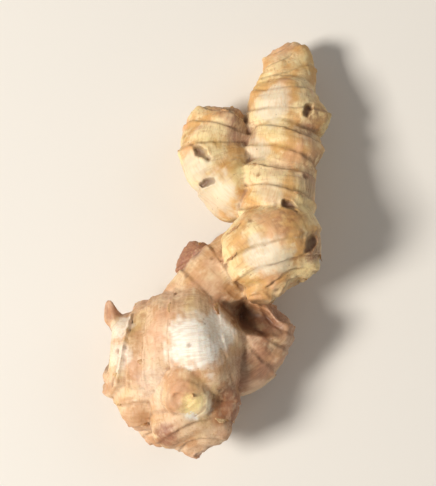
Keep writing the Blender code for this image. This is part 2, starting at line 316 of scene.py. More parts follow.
# %% [markdown]
# ## Rings and buds
#
# Papery leaves once wrapped every lobe. Each left a ring: a rim that slopes gently on its older side and
# drops into a furrow on its younger side, so the lobe looks like nested cups. A bud sits on each ring,
# left and right by turns. All of it is one height over the skin, worked out from the distance to the tip,
# so a ring stays the right size wherever the lobe bends. The distance to the nearest ring is kept too,
# because the paint will need it.

# %% Height of the rings and buds
FULL_WIDTH = 0.010  # rings are lower on a lobe slimmer than this
RIM_HEIGHT = 0.0010
RIM_SLOPE = 0.0030  # the rim fades over this length towards the older end
RIM_STEP = 0.0006  # and drops off over this length towards the tip
GROOVE_DEPTH = 0.0006
GROOVE_REACH = 0.0014
SWELL = 0.0006  # the skin's bulge between two rings
WAVE = 0.0012  # how far a ring strays along the lobe as it goes round
WAVE_TURN = 0.8  # radians that the wave turns by from one ring to the next
BUD_SHARE = 0.26  # of the lobe's half-width is the bud's radius
BUD_RISE = 0.55  # of the bud's radius is its height
BUD_TURN = math.radians(25)  # of the buds above the lobe's widest line


def ring_relief(lobe, size, from_tip, angle, width, phases):
    """Height over the skin, and the distance past the nearest ring, towards the older end."""
    bud_radius = BUD_SHARE * max(lobe.half_widths)
    relief = np.zeros_like(from_tip)
    nearest = np.ones_like(from_tip)
    boldness = lobe.rim * size
    turn = 0.0
    previous, ring, gap, side = 0.0, lobe.first_ring, lobe.ring_gap, lobe.bud_side
    while previous < from_tip.max():
        wave = np.sin(angle + phases[0] + turn) + 0.5 * np.sin(2 * angle + phases[1] - turn)
        strayed = from_tip + size * WAVE * wave
        past = strayed - ring
        nearest = np.where(np.abs(past) < np.abs(nearest), past, nearest)
        older_side = RIM_HEIGHT * np.exp(-past / RIM_SLOPE)
        younger_side = (RIM_HEIGHT + GROOVE_DEPTH) * np.exp(-((past / RIM_STEP) ** 2))
        younger_side -= GROOVE_DEPTH * np.exp(past / GROOVE_REACH)
        relief += boldness * np.where(past > 0, older_side, younger_side)
        between = np.clip((strayed - previous) / (ring - previous), 0, 1)
        relief += SWELL * size * np.sin(math.pi * between) ** 2
        bud_angle = BUD_TURN if side > 0 else math.pi - BUD_TURN
        sideways = 2 * width * np.sin((angle - bud_angle) / 2)
        bud = BUD_RISE * bud_radius * np.exp(-((past**2 + sideways**2) / bud_radius**2))
        relief += abs(side) * bud
        previous, ring, gap, side = ring, ring + gap, gap * lobe.ring_growth, -side
        boldness *= lobe.ring_fade
        turn += WAVE_TURN
    return relief, nearest


print(f"a rim is {RIM_HEIGHT * 1000:.1f} mm high and its furrow {GROOVE_DEPTH * 1000:.1f} mm deep")

# %% [markdown]
# ## Slow lumps
#
# Soil presses on a root as it swells, so no lobe is a turned shape. A few slow waves round and along the
# lobe, each with a random start, are enough. The random numbers are seeded: the same root grows each time.

# %% Bulges and hollows
LUMP_HEIGHT = 0.0006
LUMP_SPAN = 0.016
LUMP_TWIST = (0.6, -0.8)  # how fast the two-sided and the three-sided lumps turn along the lobe


def lumps(size, from_tip, angle, phases):
    """Height of the lumps over the skin."""
    along = 2 * math.pi * from_tip / LUMP_SPAN
    two_sided = np.sin(2 * angle + phases[2] + LUMP_TWIST[0] * along)
    three_sided = np.sin(3 * angle + phases[3] + LUMP_TWIST[1] * along)
    return LUMP_HEIGHT * size * (two_sided + three_sided)


print(f"lumps are up to {2 * LUMP_HEIGHT * 1000:.1f} mm high")

# %% [markdown]
# ## The surface of one lobe
#
# Each row is an ellipse across the path. Every point is then pushed out along the surface's own normal by
# the height of rings, buds and lumps. Each point also remembers where it is in the lobe's own growth:
# sideways, upwards and back from the tip, with the three directions of that small frame. Later, the
# finest detail follows the growth, as real fibres do, and doesn't run straight across the whole root.

# %% One lobe's points and growth
LONGEST_DOME = 0.45  # of the lobe's length
LOBE_SEED = 7


class LobeSkin(NamedTuple):
    points: np.ndarray  # rows, points round, 3
    growth: np.ndarray  # the same, in the lobe's own directions
    frames: np.ndarray  # rows, 3 directions, 3
    past_ring: np.ndarray  # rows, points round


def lobe_skin(lobe, random):
    """The surface of one lobe, and where each of its points is in the growth."""
    centres, half_widths, places = smooth_curve(lobe.path, lobe.half_widths)
    length = places[-1]
    longest_dome = LONGEST_DOME * length
    root_dome = min(half_widths[0], longest_dome)
    tip_dome = min(lobe.bluntness * half_widths[-1], longest_dome)
    rows, share = dome_rows(length, root_dome, tip_dome)
    around = int(2 * math.pi * half_widths.max() / SPACING)
    angle = np.linspace(0, 2 * math.pi, around, endpoint=False)[None, :]

    middle = np.column_stack([np.interp(rows, places, column) for column in centres.T])
    along = np.column_stack([np.interp(rows, places, column) for column in np.gradient(centres, axis=0).T])
    along /= np.linalg.norm(along, axis=1)[:, None]
    side = np.cross(along, (0, 0, 1))
    side /= np.linalg.norm(side, axis=1)[:, None]
    up = np.cross(side, along)
    width = (np.interp(rows, places, half_widths) * share)[:, None]
    out = np.cos(angle)[:, :, None] * side[:, None]
    out = out + lobe.flatness * np.sin(angle)[:, :, None] * up[:, None]
    points = middle[:, None] + width[:, :, None] * out

    rightward = np.roll(points, -1, axis=1) - np.roll(points, 1, axis=1)
    normal = np.cross(np.gradient(points, axis=0), rightward)
    normal /= np.linalg.norm(normal, axis=2)[:, :, None] + 1e-12
    if (normal * out).sum() < 0:
        normal = -normal
    normal[[0, -1]] = np.array([-along[0], along[-1]])[:, None]

    run = np.hypot(np.diff(rows), np.diff(width[:, 0]))
    from_tip = np.append(np.cumsum(run[::-1])[::-1], 0)[:, None] + 0 * angle
    size = min(1.0, max(lobe.half_widths) / FULL_WIDTH)
    phases = random.uniform(0, 2 * math.pi, 4)
    height, past_ring = ring_relief(lobe, size, from_tip, angle, width, phases)
    height += lumps(size, from_tip, angle, phases) * share[:, None]
    height[[0, -1]] = height[[0, -1]].mean(axis=1)[:, None]
    growth = np.stack([width * np.cos(angle), width * np.sin(angle), from_tip], axis=2)
    frames = np.stack([side, up, -along], axis=1)
    return LobeSkin(points + normal * height[:, :, None], growth, frames, past_ring)


random = np.random.default_rng(LOBE_SEED)
lobe_skins = {name: lobe_skin(lobe, random) for name, lobe in LOBES.items()}
print("points on all lobes:", sum(skin.past_ring.size for skin in lobe_skins.values()))

# %% [markdown]
# ## From lobes to one skin
#
# The lobes overlap, and a real root has no seams inside. A Boolean union of so many lumpy tubes is slow
# and breaks easily. A voxel remesh wraps everything in one even skin instead: its voxel is the smallest
# detail that the mesh can hold, here half a millimetre. A light smoothing takes the voxels' steps off.

# %% Join the lobes
MERGE_DISTANCE = SPACING / 20


def closed_mesh(name, points):
    """A closed mesh from rows of points, with the end rows drawn together into poles."""
    rows, around = points.shape[:2]
    corners = np.arange(rows * around).reshape(rows, around)
    next_corners = np.roll(corners, -1, axis=1)
    faces = np.stack([corners[:-1], corners[1:], next_corners[1:], next_corners[:-1]], axis=2)
    shape = bpy.data.meshes.new(name)
    shape.from_pydata(points.reshape(-1, 3).tolist(), [], faces.reshape(-1, 4).tolist())
    edit = bmesh.new()
    edit.from_mesh(shape)
    bmesh.ops.remove_doubles(edit, verts=edit.verts, dist=MERGE_DISTANCE)
    bmesh.ops.recalc_face_normals(edit, faces=edit.faces)
    edit.to_mesh(shape)
    edit.free()
    return shape


def object_from(name, shape):
    obj = bpy.data.objects.new(name, shape)
    bpy.context.scene.collection.objects.link(obj)
    return obj


edit = bmesh.new()
for name, skin in lobe_skins.items():
    shape = closed_mesh(name, skin.points)
    edit.from_mesh(shape)
    bpy.data.meshes.remove(shape)
together = bpy.data.meshes.new("ginger_root")
edit.to_mesh(together)
edit.free()
root = object_from("ginger_root", together)
print("before the remesh:", len(together.vertices), "points, still overlapping")

# %% Remesh into one skin
VOXEL = 0.00049
SMOOTHING = 0.5
SMOOTHING_ROUNDS = 3


def apply_modifiers(obj):
    """Replaces the object's mesh by what its modifiers make of it."""
    graph = bpy.context.evaluated_depsgraph_get()
    made = bpy.data.meshes.new_from_object(obj.evaluated_get(graph))
    obj.modifiers.clear()
    obj.data = made


remesh = root.modifiers.new("one_skin", "REMESH")
remesh.mode = "VOXEL"
remesh.voxel_size = VOXEL
smooth = root.modifiers.new("round_steps", "SMOOTH")
smooth.factor = SMOOTHING
smooth.iterations = SMOOTHING_ROUNDS
apply_modifiers(root)
print("after the remesh:", len(root.data.vertices), "points,", len(root.data.polygons), "faces")

# %% [markdown]
# ## Only the outer skin
#
# Where three lobes meet, a small hollow can be shut in, and the remesh lines it with a skin of its own.
# Nobody sees it, and it would be a stray shell in the finished mesh. The points that hang together are
# gathered, and only the largest group stays.

# %% Keep the outer skin
edit = bmesh.new()
edit.from_mesh(root.data)
unseen = set(edit.verts)
outer = set()
while unseen:
    front = {unseen.pop()}
    found = set(front)
    while front:
        front = {edge.other_vert(point) for point in front for edge in point.link_edges} - found
        found |= front
    unseen -= found
    outer = max(outer, found, key=len)
inner = [point for point in edit.verts if point not in outer]
print("inner points dropped:", len(inner))
bmesh.ops.delete(edit, geom=inner, context="VERTS")
edit.to_mesh(root.data)
edit.free()

# %% [markdown]
# ## Noise
#
# Natural surfaces need noise: numbers that wander smoothly, about from -1 to 1. Noise in ordinary space
# gives blotches and ragged edges. Later, noise in the growth's own space, stretched along it, will give
# wrinkles and fibres that bend with the lobe.

# %% A helper for noise
def noise_at(places, span, seed=0.0):
    """Smooth noise at each place. Its waves are span metres long, or another length in each direction."""
    return np.array([noise.noise(spot) for spot in (places / span + seed).tolist()])


print("noise at three places:", np.round(noise_at(np.eye(3) * 0.01, 0.004), 2))

# %% [markdown]
# ## Scars
#
# Shoots and roots that broke off left hollows with a low rim. The solid has the large ones, and they are
# pressed into this skin at the same places. A line from outside finds the skin, and points near it are
# pushed along the line. Noise makes their outlines ragged, as a torn shoot leaves them. How deep each
# point lies in a scar is kept for the paint.

# %% The large scars
class Scar(NamedTuple):
    place: tuple  # a point on the line that meets the skin
    outward: tuple
    half_length: float
    half_width: float
    depth: float
    turn: float = 0.0  # degrees round the outward direction, from X to the scar's length
    torn: bool = False  # a dry face where the root was broken off its parent, not a dark eye


UP = (0, 0, 1)
OLD_END = Scar(
    (-0.0300, 0.0300, 0.0150), (-1, 0, 0), half_length=0.0070, half_width=0.0060, depth=0.0016, torn=True
)
SCARS = (
    # The pit between the neck, the knuckle and the shoulder
    Scar((0.0098, 0.0372, 0.0200), UP, half_length=0.0076, half_width=0.0042, depth=0.0035, turn=-20),
    # Slits and eyes of shoots on the side that looks up: crown, link, knuckle and two on the finger
    Scar((0.0262, 0.0990, 0.0200), UP, half_length=0.0022, half_width=0.0013, depth=0.0013, turn=65),
    Scar((0.0202, 0.0690, 0.0200), UP, half_length=0.0022, half_width=0.0012, depth=0.0013, turn=-30),
    Scar((0.0262, 0.0580, 0.0200), UP, half_length=0.0026, half_width=0.0015, depth=0.0014, turn=70),
    Scar((-0.0050, 0.0860, 0.0200), UP, half_length=0.0034, half_width=0.0012, depth=0.0014, turn=-45),
    Scar((-0.0030, 0.0772, 0.0200), UP, half_length=0.0022, half_width=0.0010, depth=0.0012, turn=15),
    # The broken old end on the left, and round scars on the underside and the right side
    OLD_END,
    Scar((-0.0120, 0.0420, 0.0050), (0, 0.5, -1), half_length=0.0030, half_width=0.0026, depth=0.0015),
    Scar((0.0180, 0.0620, 0.0100), (0.4, 0, -1), half_length=0.0032, half_width=0.0028, depth=0.0016),
    Scar((0.0100, 0.0200, 0.0080), (1, -0.5, -0.5), half_length=0.0030, half_width=0.0024, depth=0.0015),
)
print(len(SCARS), "large scars")

# %% Read and write a mesh's points
def read_points(obj):
    """The places of the points, a row for each."""
    points = np.empty(len(obj.data.vertices) * 3)
    obj.data.vertices.foreach_get("co", points)
    return points.reshape(-1, 3)


def write_points(obj, points):
    obj.data.vertices.foreach_set("co", points.ravel())
    obj.data.update()


def read_normals(obj):
    normals = np.empty(len(obj.data.vertices) * 3)
    obj.data.vertex_normals.foreach_get("vector", normals)
    return normals.reshape(-1, 3)


points = read_points(root)
skin_tree = BVHTree.FromObject(root, bpy.context.evaluated_depsgraph_get())
print("points of the skin:", len(points))

# %% Press the scars in
SCAR_REACH = 0.006  # above and below the skin that a scar presses
SCAR_RIM = 0.30  # of the scar's depth is the height of the rim round it
RIM_PLACE = 1.15  # of the scar's radius is the rim's
RIM_WIDTH = 0.30  # of the scar's radius is the rim's width
OUTSIDE = 0.05  # a point this far from the root's middle is outside its skin
RAGGED = 0.42  # how much noise bends a scar's outline
RAGGED_SPAN = 1.3  # of the scar's half-width is the length of that noise's waves
SIDEWAYS = 0.9  # a scar that faces along X more than this is turned from Y, not from X


def press_scar(scar):
    """Pushes the points in for one scar. Returns how much each of them lies in its hollow."""
    outward = Vector(scar.outward).normalized()
    middle = skin_tree.ray_cast(Vector(scar.place) + outward * OUTSIDE, -outward)[0]
    level = Vector((0, 1, 0)) if abs(outward.x) > SIDEWAYS else Vector((1, 0, 0))
    level = (level - level.project(outward)).normalized()
    along = Matrix.Rotation(math.radians(scar.turn), 3, outward) @ level
    across = outward.cross(along)
    away = points - np.array(middle)
    lengthways = away @ np.array(along) / scar.half_length
    reach = np.hypot(lengthways, away @ np.array(across) / scar.half_width)
    reach *= 1 + RAGGED * noise_at(points, RAGGED_SPAN * scar.half_width, seed=12.0)
    near = np.exp(-((away @ np.array(outward) / SCAR_REACH) ** 4))
    rim = SCAR_RIM * np.exp(-(((reach - RIM_PLACE) / RIM_WIDTH) ** 2))
    hollow = np.exp(-(reach**4))
    points[:] += (near * scar.depth * (rim - hollow))[:, None] * np.array(outward)
    return near * hollow


in_scar = np.zeros(len(points))
torn_face = np.zeros(len(points))
for scar in SCARS:
    kind = torn_face if scar.torn else in_scar
    np.maximum(kind, press_scar(scar), out=kind)
write_points(root, points)
print("points in scars:", int((in_scar > 0.5).sum()), "and on the torn face:", int((torn_face > 0.5).sum()))

# %% [markdown]
# ## Where each point is in the growth
#
# The remesh forgot which lobe a point came from. A k-d tree of all the lobe points finds the nearest one
# for each point of the skin, and the small step between the two, measured in that lobe's own directions,
# makes the answer smooth.

# %% Carry the growth over to the skin
skins = list(lobe_skins.values())
sources = np.concatenate([skin.points.reshape(-1, 3) for skin in skins])
source_growth = np.concatenate([skin.growth.reshape(-1, 3) for skin in skins])
source_past = np.concatenate([skin.past_ring.ravel() for skin in skins])
source_frames = np.concatenate([np.repeat(skin.frames, skin.points.shape[1], axis=0) for skin in skins])
source_lobe = np.repeat(np.arange(len(skins)), [skin.past_ring.size for skin in skins])
lobe_tree = KDTree(len(sources))
for number, place in enumerate(sources.tolist()):
    lobe_tree.insert(place, number)
lobe_tree.balance()

points = read_points(root)
nearest = np.array([lobe_tree.find(place)[1] for place in points.tolist()])
step = np.einsum("nij,nj->ni", source_frames[nearest], points - sources[nearest])
growth = source_growth[nearest] + step
past_ring = source_past[nearest] + step[:, 2]
from_tip = np.maximum(growth[:, 2], 0)
lobe_number = source_lobe[nearest]
for number, name in enumerate(LOBES):
    print(f"{name}: {(lobe_number == number).sum()} points of the skin")

# %% [markdown]
# ## Averages over the skin
#
# Several measures need a value that changes slowly over the skin. Taking each point's average with its
# neighbours, many times over, spreads a value further each round, as water spreads in cloth. The age of
# the skin is spread over all the joints: old on the fat part, young on the chain. The growth is only
# evened out inside each lobe, because each lobe has a growth of its own.

# %% Spread values over the skin
PASSED_ON = 0.5  # of the difference to its neighbours is what a point takes over in a round

ends = np.empty(len(root.data.edges) * 2, dtype=np.int32)
root.data.edges.foreach_get("vertices", ends)
edges = ends.reshape(-1, 2)
lobe_edges = edges[lobe_number[edges[:, 0]] == lobe_number[edges[:, 1]]]


def spread(values, rounds, edges=edges):
    """The values, averaged along the edges with their neighbours' as many times as rounds says."""
    one_end, other_end = edges.T
    neighbours = np.maximum(np.bincount(edges.ravel(), minlength=len(values)), 1)
    columns = values.reshape(len(values), -1).T.copy()
    for column in columns:
        for _ in range(rounds):
            change = column[other_end] - column[one_end]
            total = np.bincount(one_end, weights=change, minlength=len(column))
            total -= np.bincount(other_end, weights=change, minlength=len(column))
            column += PASSED_ON * total / neighbours
    return columns.T.reshape(values.shape)


print("edges of the skin:", len(edges), "and inside lobes:", len(lobe_edges))

# %% Age and growth, evened out
OLD_PART_AGE, NECK_AGE, CHAIN_AGE = 1.0, 0.75, 0.0
AGE_ROUNDS = 60
GROWTH_ROUNDS = 6
LOBES_APART = 0.1  # metres in the growth's space, so that no two lobes have the same wrinkles

ages = ((OLD_PART, OLD_PART_AGE), (NECK, NECK_AGE), (CHAIN, CHAIN_AGE))
lobe_age = np.concatenate([np.full(len(lobes), lobes_age) for lobes, lobes_age in ages])
age = spread(lobe_age[lobe_number], AGE_ROUNDS)
growth = spread(growth, GROWTH_ROUNDS, lobe_edges)
own_growth = growth + lobe_number[:, None] * LOBES_APART
print("mean age of the skin:", round(float(age.mean()), 2))

# %% [markdown]
# ## Rubbed, stained and bruised places, with painted highlights and shade
#
# On a washed root the tan skin is thin, and pale flesh shows where it was rubbed off: most on the old
# part, on the finger and on the knuckle. Some pale patches are painted highlights, on sides that face the
# light. Other places have dried brown, round the pit and beside the scars, and young or bruised ones are a
# pinkish brown. Many brown and pinkish-brown patches are painted shade, on sides away from the light and
# in gaps. Each kind is a table: a middle as seen from above, a radius, and how strong it is. Noise frays
# the soft edges.

# %% Where the skin is rubbed, stained or bruised, and where highlights and shade are painted
# Pale patches. On the knuckle, the link, the left ridge, the finger's left side and the foot eye they are
# painted highlights; on the old part they are both rubbed flesh and a painted highlight; elsewhere they are
# rubbed flesh.
RUBBED_AND_HIGHLIT = {
    "old part": (-0.0062, 0.0302, 0.0076, 1.0),
    "old part, towards the pit": (-0.0005, 0.0335, 0.0056, 0.9),
    "old part, low": (-0.0180, 0.0185, 0.0050, 0.3),
    "left ridge's top": (-0.0282, 0.0350, 0.0040, 0.7),
    "left ridge": (-0.0285, 0.0270, 0.0044, 0.6),
    "foot eye": (-0.0062, 0.0128, 0.0038, 1.0),
    "finger": (-0.0015, 0.0735, 0.0070, 0.9),
    "finger's left side": (-0.0070, 0.0810, 0.0046, 0.8),
    "knuckle": (0.0128, 0.0545, 0.0050, 1.0),
    "knuckle's middle": (0.0175, 0.0530, 0.0040, 0.8),
    "link": (0.0110, 0.0860, 0.0040, 0.8),
    "link's middle": (0.0150, 0.0735, 0.0040, 0.5),
    "crown": (0.0160, 0.1010, 0.0056, 0.9),
}
# Brown patches: dried stains, and painted shade on the foot's right, by the toe, on the hidden bud and on
# the right sides of the links and the crown.
STAINED_AND_SHADED = {
    "pit": (0.0095, 0.0380, 0.0070, 1.0),
    "steps beside the pit": (0.0015, 0.0420, 0.0036, 0.8),
    "neck's left": (-0.0105, 0.0425, 0.0044, 0.5),
    "knuckle's top": (0.0200, 0.0645, 0.0046, 0.8),
    "links' right": (0.0275, 0.0830, 0.0044, 0.8),
    "crown's right": (0.0290, 0.0965, 0.0040, 0.8),
    "foot's right": (0.0040, 0.0130, 0.0070, 1.0),
    "heel": (-0.0235, 0.0080, 0.0044, 0.35),
    "foot's lower left": (-0.0150, 0.0040, 0.0042, 1.0),
    "right of the spur": (-0.0210, 0.0400, 0.0040, 0.7),
    "hidden bud": (-0.0085, 0.0575, 0.0086, 0.8),
}
# Pinkish-brown patches, mostly painted shade: on the right sides away from the key light, on the hidden
# bud, on the spur's and the finger's ends, and by the toe. Those by the pit are bruises.
BRUISED_AND_SHADED = {
    "hidden bud": (-0.0085, 0.0575, 0.0086, 1.0),
    "spur": (-0.0310, 0.0400, 0.0032, 0.6),
    "ridge beside the pit": (0.0180, 0.0385, 0.0044, 0.8),
    "below the pit": (0.0115, 0.0315, 0.0040, 0.7),
    "shoulder's right": (0.0200, 0.0330, 0.0060, 0.6),
    "old part's right": (0.0095, 0.0245, 0.0066, 0.75),
    "foot's right": (0.0045, 0.0130, 0.0050, 0.7),
    "foot's lower left": (-0.0150, 0.0045, 0.0034, 0.8),
    "knuckle's right": (0.0280, 0.0570, 0.0042, 0.9),
    "links' right": (0.0270, 0.0765, 0.0040, 0.8),
    "crown's right": (0.0265, 0.0925, 0.0040, 0.7),
    "finger's right": (0.0062, 0.0925, 0.0046, 0.9),
    "finger's end": (0.0020, 0.1005, 0.0058, 0.8),
}
print(len(RUBBED_AND_HIGHLIT), "rubbed,", len(STAINED_AND_SHADED), "stained and", len(BRUISED_AND_SHADED), "bruised places")

# %% Share of each point in the patches
EDGE_SHARPNESS = 1.3
FRAYING = 0.50  # how much noise moves a patch's edge
COARSE_FRAY, FINE_FRAY = 0.0040, 0.0013  # lengths of that noise's waves
STAIN_AND_SHADE_FRAY, BRUISE_AND_SHADE_FRAY = 0.0050, 0.0045


def patches(table, fray):
    """How much each point lies in one of the table's patches, from 0 to 1."""
    share = np.zeros(len(points))
    for x, y, radius, strength in table.values():
        middle = skin_tree.ray_cast(Vector((x, y, OUTSIDE)), Vector((0, 0, -1)))[0]
        reach = np.linalg.norm(points - np.array(middle), axis=1) / radius
        inside = np.clip(EDGE_SHARPNESS * (1 - reach + FRAYING * fray) + 0.5, 0, 1)
        share = np.maximum(share, strength * inside**2 * (3 - 2 * inside))
    return share


fray = noise_at(points, COARSE_FRAY, seed=3.0) + 0.6 * noise_at(points, FINE_FRAY, seed=4.0)
rubbed_and_highlit = patches(RUBBED_AND_HIGHLIT, fray)
stained_and_shaded = patches(STAINED_AND_SHADED, noise_at(points, STAIN_AND_SHADE_FRAY, seed=6.0) + 0.5 * fray)
bruised_and_shaded = patches(BRUISED_AND_SHADED, noise_at(points, BRUISE_AND_SHADE_FRAY, seed=7.0) + 0.5 * fray)
for name, share in (("rubbed_and_highlit", rubbed_and_highlit), ("stained_and_shaded", stained_and_shaded), ("bruised_and_shaded", bruised_and_shaded)):
    print(f"{share.mean():.1%} of the skin is {name}")

# %% [markdown]
# ## Fine relief
#
# A voxel can't hold a paper-thin ring, so the finest forms come last, as small pushes along the skin's
# normals: a ragged lip on each ring, faint rings between them, wrinkles that run along the lobe, soft
# dents, and a low step down over the rubbed patches, which also hold painted highlights. The brown line
# under each lip is worked out here too, point by point. A distance that jumps from one ring's to the next
# would paint false lines.

# %% The relief
LIP_HEIGHT = 0.00030
LIP_WIDTH = 0.00045
LIP_SPAN = np.array([0.0016, 0.0016, 0.0060])  # of the noise that breaks the lip up: across, up, along
STRAY, STRAY_SPAN = 0.00025, 0.0022  # how far the lip strays along the lobe, and over what length
UNDER_LIP = 0.00016
UNDER_PLACE = 0.00072  # the furrow's middle is this far from the lip's, towards the tip
LINE_PLACE = 0.00045  # and the brown line's is this far
LINE_WIDTH = 0.00036
FAINT_RING_GAP = 0.0013
FAINT_RING_HEIGHT = 0.00007
FAINT_SPAN = 0.006  # of the noise that makes them come and go
WRINKLE_DEPTH = 0.00013
WRINKLE_SPAN = np.array([0.0017, 0.0017, 0.0100])
DENT_DEPTH = 0.00035
DENT_SPAN, SMALL_DENT_SPAN = 0.0070, 0.0028
PEEL_DEPTH = 0.00014
# The rubbed patches also hold the painted highlights.
SMOOTHED = 0.5  # of the relief goes where the skin is rubbed off

ragged = np.clip(0.6 + 1.3 * noise_at(own_growth, LIP_SPAN), 0, 1.4)
past = past_ring + STRAY * noise_at(own_growth, STRAY_SPAN, seed=5.0)
lip = LIP_HEIGHT * ragged * np.exp(-((past / LIP_WIDTH) ** 2))
under = UNDER_LIP * ragged * np.exp(-(((past + UNDER_PLACE) / LIP_WIDTH) ** 2))
ring_line = np.exp(-(((past + LINE_PLACE) / LINE_WIDTH) ** 2))
patchy = np.clip(0.5 + noise_at(points, FAINT_SPAN, seed=9.0), 0, 1)
faint = FAINT_RING_HEIGHT * patchy * np.sin(2 * math.pi * growth[:, 2] / FAINT_RING_GAP + 2 * fray)
wrinkles = -WRINKLE_DEPTH * (1 - np.abs(noise_at(own_growth, WRINKLE_SPAN))) ** 4
small_dents = 0.45 * noise_at(points, SMALL_DENT_SPAN, seed=8.0)
dents = DENT_DEPTH * (noise_at(points, DENT_SPAN, seed=2.0) + small_dents)
relief = (lip + faint + wrinkles) * (1 - SMOOTHED * rubbed_and_highlit) - under + dents - PEEL_DEPTH * rubbed_and_highlit
write_points(root, points + read_normals(root) * relief[:, None])
print(f"relief from {relief.min() * 1000:.2f} to {relief.max() * 1000:.2f} mm")

# %% [markdown]
# ## Root scars
#
# Thin roots grew from the lobes, mostly underneath and close to the rings. Each left a small round scar,
# one or two millimetres wide. Their places are drawn at random from the skin, with a seed, and each
# presses a shallow dish with a raised middle.

# %% Small round scars
SMALL_SCARS = 90
SMALL_SCAR_SEED = 11
NEAR_RING = 0.0012  # most scars are this close to a ring
ELSEWHERE = 0.15  # the chance between the rings, beside 1 on them
UNDERNEATH = -0.1  # a point looks down where its normal's Z is less than this
ON_TOP = 0.3  # the chance on top, beside 1 underneath
SMALLEST, LARGEST = 0.0005, 0.0011  # radius
DISH_PLACE, DISH_WIDTH, DISH_DEPTH = 0.55, 0.30, 0.25  # of the scar's radius
EDGE_PLACE, EDGE_WIDTH = 1.10, 0.25
EDGE_HEIGHT = 0.5  # of the dish's depth
PAINTED = 0.9  # of the radius

chance = np.exp(-((past_ring / NEAR_RING) ** 2)) + ELSEWHERE
chance *= np.where(read_normals(root)[:, 2] < UNDERNEATH, 1.0, ON_TOP)
random = np.random.default_rng(SMALL_SCAR_SEED)
picked = random.choice(len(points), SMALL_SCARS, replace=False, p=chance / chance.sum())
radii = random.uniform(SMALLEST, LARGEST, SMALL_SCARS)

points = read_points(root)
normals = read_normals(root)
small_scar = np.zeros(len(points))
for spot, radius in zip(picked, radii):
    reach = np.linalg.norm(points - points[spot], axis=1) / radius
    dish = -np.exp(-(((reach - DISH_PLACE) / DISH_WIDTH) ** 2))
    dish += EDGE_HEIGHT * np.exp(-(((reach - EDGE_PLACE) / EDGE_WIDTH) ** 2))
    points += (DISH_DEPTH * radius * dish * (reach < 2))[:, None] * normals[spot]
    small_scar = np.maximum(small_scar, np.exp(-((reach / PAINTED) ** 4)))
write_points(root, points)
print(SMALL_SCARS, "small scars,", int((normals[picked, 2] < UNDERNEATH).sum()), "of them underneath")

# %% [markdown]
# ## On the table
#
# The root rests on its lowest swellings, so what would sink into the table is flattened. Then the skin is
# scaled by about one percent to fit the solid's own box, so that both have exactly one size.

# %% Fit the skin to the solid's box
points = read_points(root)
points[:, 2] = np.maximum(points[:, 2], 0)
low, high = points.min(axis=0), points.max(axis=0)
stretch = (box_high - box_low) / (high - low)
write_points(root, box_low + (points - low) * stretch)
print("stretch along X, Y and Z:", np.round(stretch, 4))

# %% [markdown]
# ## How hollow each place is
#
# The paint darkens the creases and the wide hollows between lobes: painted shade, with some soil in them.
# It follows how hollow the skin is: each point is compared with the average of its surroundings. A few
# rounds of averaging find the narrow creases, and many rounds the wide hollows between lobes. Positive
# means hollow, negative means proud.

# %% Measure the hollows
CREASE_ROUNDS, CREASE_BLUR = 8, 2
HOLLOW_ROUNDS = 120

points = read_points(root)
normals = read_normals(root)
fine_hollow = spread(((spread(points, CREASE_ROUNDS) - points) * normals).sum(axis=1), CREASE_BLUR)
wide_hollow = ((spread(points, HOLLOW_ROUNDS) - points) * normals).sum(axis=1)
deepest = np.array([fine_hollow.max(), wide_hollow.max()])
print("deepest fine and wide hollows in mm:", np.round(deepest * 1000, 2))

# %% [markdown]
# ## Papery scales
#
# Scraps of the leaves that once wrapped the lobes still hang on some rings. Each is a thin, torn strip:
# its root follows the ring, and its free edge stands a little off the skin, towards the tip. A strip
# can't be laid flat on a lumpy skin, so it is walked there: one step sideways along the ring, then back
# onto the ring, then back onto the skin. A solid-looking sheet needs a thickness, which Solidify gives.

# %% Walk along a ring
SCALE_STEP = 0.0004
WALK_HOLLOW = 0.0004  # a scale ends where the skin is hollower than this

back = source_frames[nearest][:, 2]  # towards the older end of the lobe, at each point of the skin
skin_tree = BVHTree.FromObject(root, bpy.context.evaluated_depsgraph_get())
point_tree = KDTree(len(points))
for number, place in enumerate(points.tolist()):
    point_tree.insert(place, number)
point_tree.balance()


def ring_walk(start, steps):
    """Places on the skin along the ring at a point, and the skin's point nearest to each of them."""
    place, here = points[start], start
    places, spots = [], []
    for _ in range(steps):
        if lobe_number[here] != lobe_number[start] or wide_hollow[here] > WALK_HOLLOW:
            break
        places.append(place)
        spots.append(here)
        place = place + SCALE_STEP * np.cross(normals[here], back[here])
        here = point_tree.find(place)[1]
        off_ring = past_ring[here] + (place - points[here]) @ back[here]
        place = place - np.clip(off_ring, -SCALE_STEP, SCALE_STEP) * back[here]
        place = np.array(skin_tree.find_nearest(place)[0])
        here = point_tree.find(place)[1]
    return places, spots


print("a walk takes steps of", SCALE_STEP * 1000, "mm among", len(points), "points")

# %% One scale
SCALE_ROWS = 5  # of points across a scale
LIFT = 0.45  # of a scale's width is how far its free edge stands off the skin
ROOT_DEPTH = 0.00015  # that its root is sunk in the skin


def add_scale(mesh, places, spots, widths, curl):
    """Adds a strip that is rooted at the places on the skin and as wide as the widths."""
    rows = []
    for place, spot, width in zip(places, spots, widths):
        row = []
        for share in np.linspace(0, 1, SCALE_ROWS):
            flat = Vector(place - back[spot] * width * share)
            on_skin, outward = skin_tree.find_nearest(flat)[:2]
            lift = LIFT * curl * width * share**2 + (ROOT_DEPTH / 2 if share else -ROOT_DEPTH)
            row.append(mesh.verts.new(on_skin + outward * lift))
        rows.append(row)
    for row, next_row in zip(rows, rows[1:]):
        for number in range(SCALE_ROWS - 1):
            mesh.faces.new((row[number], row[number + 1], next_row[number + 1], next_row[number]))


print(f"a free edge stands off by up to {LIFT:.0%} of the scale's width, times its curl")

